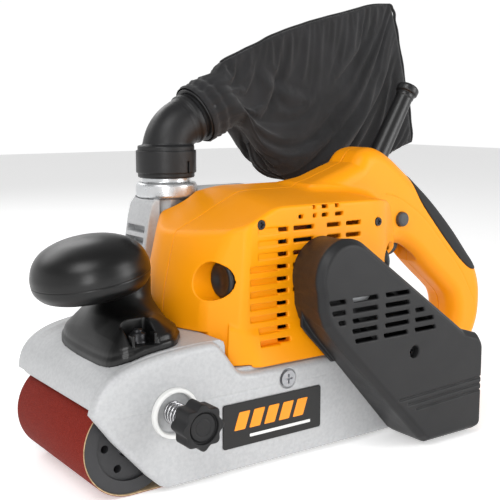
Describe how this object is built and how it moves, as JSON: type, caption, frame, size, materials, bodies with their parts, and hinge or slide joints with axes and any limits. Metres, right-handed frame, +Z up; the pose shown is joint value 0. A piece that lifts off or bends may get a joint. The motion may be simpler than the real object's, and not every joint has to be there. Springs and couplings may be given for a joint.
{
  "type": "handheld belt sander",
  "caption": "Handheld belt sander with a front palm grip, rear D-handle, belt-driven rear roller, tracking knob and a swivelling dust bag.",
  "frame": {"origin": "centre of the flat working face of the sanding belt", "axes": "+X from the front grip to the rear handle, -Y towards the drive-cover side, +Z up away from the work"},
  "size_m": [0.3867, 0.183, 0.315],
  "materials": {
    "cast_frame": "fine sand-cast, painted light grey",
    "platen_steel": "ground sheet",
    "pad_cork": "graphite-faced cork",
    "abrasive": "brick-red abrasive grit on cloth",
    "bearing_steel": "ground steel",
    "case_alloy": "die-cast",
    "zinc_screws": "zinc plated",
    "belt_rubber": "ribbed rubber",
    "cover_plastic": "dark grey fine texture",
    "black_screws": "black oxide",
    "label_black": "black plate with plain orange stripes",
    "boss_white": "smooth white ring",
    "spring_steel": "bright wire",
    "pin_steel": "turned steel",
    "housing_yellow": "orange-yellow glass-filled nylon",
    "soft_black": "soft overmould",
    "switch_plastic": "moulded",
    "guard_rubber": "flexible rubber",
    "laminations": "stacked electrical steel",
    "copper_coils": "enamelled copper wire",
    "brass_parts": "drawn brass",
    "carbon": "carbon graphite",
    "cap_black": "bakelite",
    "fan_case_alloy": "die-cast, silver grey",
    "pipe_alloy": "turned bright",
    "grip_black": "black moulded",
    "grip_soft": "soft-touch black",
    "yoke_cast": "die-cast",
    "roller_plastic": "black glass-filled nylon",
    "core_alloy": "turned",
    "sleeve_rubber": "vulcanised lagging",
    "gear_steel": "hardened steel",
    "pulley_alloy": "turned",
    "copper_segments": "turned copper",
    "fan_plastic": "moulded",
    "trigger_black": "moulded",
    "button_grey": "moulded",
    "lever_steel": "pressed and plated",
    "knob_black": "moulded",
    "elbow_black": "black moulded",
    "band_grey": "moulded",
    "ring_black": "moulded",
    "bag_fabric": "charcoal woven cloth"
  },
  "bodies": {
    "machine": {"base_frame": "cast_frame", "platen": "platen_steel", "platen_pad": "pad_cork", "sanding_belt": "abrasive", "frame_bearings": "bearing_steel", "gear_case": "case_alloy", "case_bearings": "bearing_steel", "case_screws": "zinc_screws", "drive_belt": "belt_rubber", "drive_cover": "cover_plastic", "cover_screw": "black_screws", "label_plate": "label_black", "plate_screw": "zinc_screws", "tracking_boss": "boss_white", "tracking_spring": "spring_steel", "tension_spring": "spring_steel", "lever_pin": "pin_steel", "housing_left": "housing_yellow", "housing_right": "housing_yellow", "housing_screws": "black_screws", "rear_grip": "soft_black", "switch_body": "switch_plastic", "cord_guard": "guard_rubber", "field_core": "laminations", "field_coils": "copper_coils", "brush_holders": "brass_parts", "brushes": "carbon", "brush_caps": "cap_black", "motor_bearings": "bearing_steel", "fan_housing": "fan_case_alloy", "fan_screws": "zinc_screws", "dust_pipe": "pipe_alloy", "grip_base": "grip_black", "grip_knob": "grip_soft", "grip_bolt": "zinc_screws"},
    "tension_yoke": {"yoke": "yoke_cast", "front_axle": "pin_steel"},
    "front_roller": {"front_roller": "roller_plastic", "roller_bearings": "bearing_steel"},
    "rear_roller": {"rear_core": "core_alloy", "rear_sleeve": "sleeve_rubber", "rear_shaft": "pin_steel", "rear_gear": "gear_steel"},
    "layshaft": {"layshaft": "gear_steel", "large_pulley": "pulley_alloy"},
    "armature": {"armature_shaft": "pin_steel", "armature_core": "laminations", "armature_coils": "copper_coils", "commutator": "copper_segments", "small_pulley": "pulley_alloy", "fan": "fan_plastic"},
    "trigger": {"trigger": "trigger_black"},
    "lock_button": {"lock_button": "button_grey"},
    "tension_lever": {"tension_lever": "lever_steel"},
    "tracking_knob": {"tracking_knob": "knob_black", "tracking_screw": "spring_steel"},
    "dust_elbow": {"dust_elbow": "elbow_black", "elbow_band": "band_grey"},
    "dust_bag": {"bag_ring": "ring_black", "dust_bag": "bag_fabric"}
  },
  "joints": [
    {"name": "rear_roller_spin", "type": "hinge", "parent": "machine", "child": "rear_roller", "pos_m": [0.10412, 0, 0.0313], "axis": [0, 1, 0], "continuous": true},
    {"name": "front_roller_spin", "type": "hinge", "parent": "tension_yoke", "child": "front_roller", "pos_m": [-0.10412, 0, 0.0313], "axis": [0, 1, 0], "continuous": true},
    {"name": "layshaft_spin", "type": "hinge", "parent": "machine", "child": "layshaft", "pos_m": [0.12137, 0, 0.0443], "axis": [0, 1, 0], "continuous": true},
    {"name": "armature_spin", "type": "hinge", "parent": "machine", "child": "armature", "pos_m": [0.038, 0, 0.117], "axis": [0, 1, 0], "continuous": true},
    {"name": "tension_lever_turn", "type": "hinge", "parent": "machine", "child": "tension_lever", "pos_m": [-0.034, 0.034, 0.0315], "axis": [0, 0, 1], "range_deg": [0, 100]},
    {"name": "tension_yoke_slide", "type": "slide", "parent": "machine", "child": "tension_yoke", "axis": [1, 0, 0], "range_m": [0, 0.006]},
    {"name": "tracking_knob_turn", "type": "hinge", "parent": "machine", "child": "tracking_knob", "pos_m": [-0.081, -0.085, 0.05], "axis": [0, 1, 0], "range_deg": [-360, 360]},
    {"name": "trigger_squeeze", "type": "hinge", "parent": "machine", "child": "trigger", "pos_m": [0.133, 0, 0.133], "axis": [0, -1, 0], "range_deg": [0, 7], "stiffness_Nm_per_rad": 0.1, "springref_deg": -11.46},
    {"name": "lock_button_press", "type": "slide", "parent": "machine", "child": "lock_button", "axis": [0, 1, 0], "range_m": [0, 0.003], "stiffness_N_per_m": 120, "springref_m": -0.002},
    {"name": "elbow_swivel", "type": "hinge", "parent": "machine", "child": "dust_elbow", "pos_m": [-0.0135, 0.06, 0.19], "axis": [0, 0, 1], "range_deg": [0, 100]},
    {"name": "bag_pull_off", "type": "slide", "parent": "dust_elbow", "child": "dust_bag", "axis": [0.8942, 0, 0.4478], "range_m": [0, 0.04]}
  ],
  "couplings": [
    {"joint": "front_roller_spin", "follows": "rear_roller_spin", "ratio": 1},
    {"joint": "layshaft_spin", "follows": "rear_roller_spin", "ratio": -3},
    {"joint": "armature_spin", "follows": "rear_roller_spin", "ratio": -7.8},
    {"joint": "tension_yoke_slide", "follows": "tension_lever_turn", "m_per_rad": 0.0034}
  ]
}
